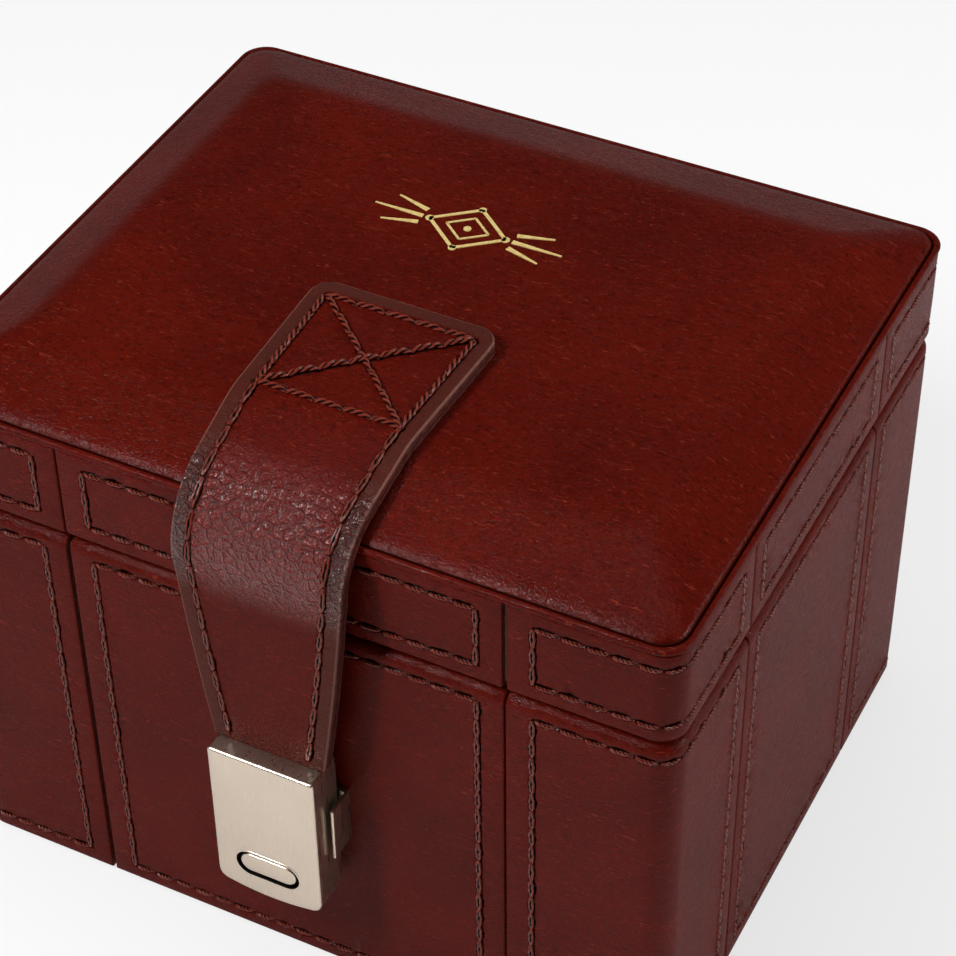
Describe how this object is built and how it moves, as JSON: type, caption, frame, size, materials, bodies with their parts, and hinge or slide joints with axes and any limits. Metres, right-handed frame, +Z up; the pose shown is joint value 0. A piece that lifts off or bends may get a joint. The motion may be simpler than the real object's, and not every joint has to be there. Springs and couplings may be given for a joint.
{
  "type": "watch box with drawer",
  "caption": "Leather-covered watch box with a padded hinged lid, a strap and push-button clasp at the front, lined watch cells and a side drawer for small items.",
  "frame": {"origin": "middle of the flat underside", "axes": "+X to the right along the front, +Y to the back, +Z up"},
  "size_m": [0.204, 0.185, 0.1636],
  "materials": {
    "leather": "glossy oxblood leather",
    "strap_leather": "glossy oxblood strap leather with burnished edges",
    "strap_lining": "smooth strap lining",
    "board": "fine fibreboard",
    "suede": "tan suede",
    "cushion": "tan suede",
    "foam": "dense foam",
    "felt": "dark brown felt",
    "nickel": "satin nickel",
    "steel": "plain"
  },
  "bodies": {
    "box": {"body_panel_front": "leather", "body_panel_back": "leather", "body_panel_left": "leather", "body_panel_right": "leather", "body_corner_panels": "leather", "drawer_sill_leather": "leather", "base_board": "board", "front_board": "board", "back_board": "board", "left_board": "board", "right_board": "board", "shelf_board": "board", "tray_floor": "board", "drawer_guides": "board", "drawer_runners": "board", "drawer_stop": "board", "tray_suede": "suede", "tray_walls": "suede", "cell_divider_long": "suede", "cell_dividers_cross": "suede", "watch_cushions": "cushion", "base_felt": "felt", "keeper": "nickel", "hinge_body_leaves": "nickel", "hinge_pins": "nickel", "keeper_screws": "steel", "hinge_screws_body": "steel"},
    "lid": {"lid_rails_long": "board", "lid_rails_end": "board", "lid_board": "board", "lid_wall_suede": "suede", "lid_pad": "suede", "lid_crown_pad": "foam", "lid_top_leather": "leather", "lid_panels_long": "leather", "lid_panels_end": "leather", "lid_corner_panels": "leather", "hinge_lid_leaves": "nickel", "hinge_screws_lid": "steel", "strap_upper_leather": "strap_leather", "strap_upper_lining": "strap_lining"},
    "strap": {"strap_lower_leather": "strap_leather", "strap_lower_lining": "strap_lining", "clasp_housing": "nickel", "strap_clamp_plate": "steel", "clasp_screws": "steel", "spring_seat": "steel", "button_spring": "steel"},
    "button": {"push_button": "nickel"},
    "latch": {"latch_slider": "steel"},
    "drawer": {"drawer_front": "board", "drawer_front_leather": "leather", "drawer_sides": "board", "drawer_back": "board", "drawer_bottom": "board", "drawer_suede": "suede", "drawer_dividers": "suede", "drawer_pull_tab": "strap_leather", "drawer_pull_stud": "nickel"}
  },
  "joints": [
    {"name": "lid_hinge", "type": "hinge", "parent": "box", "child": "lid", "pos_m": [0, 0.0856, 0.121], "axis": [-1, 0, 0], "range_deg": [0, 95]},
    {"name": "strap_swing", "type": "hinge", "parent": "lid", "child": "strap", "pos_m": [0, -0.0919, 0.13791], "axis": [-1, 0, 0], "range_deg": [0, 80]},
    {"name": "button_press", "type": "slide", "parent": "strap", "child": "button", "axis": [0, 1, 0], "range_m": [0, 0.0012], "stiffness_N_per_m": 600, "springref_m": -0.0015},
    {"name": "latch_lift", "type": "slide", "parent": "strap", "child": "latch", "axis": [0, 0, 1], "range_m": [0, 0.0012]},
    {"name": "drawer_slide", "type": "slide", "parent": "box", "child": "drawer", "axis": [-1, 0, 0], "range_m": [0, 0.115]}
  ],
  "couplings": [
    {"joint": "latch_lift", "follows": "button_press", "ratio": 1}
  ]
}
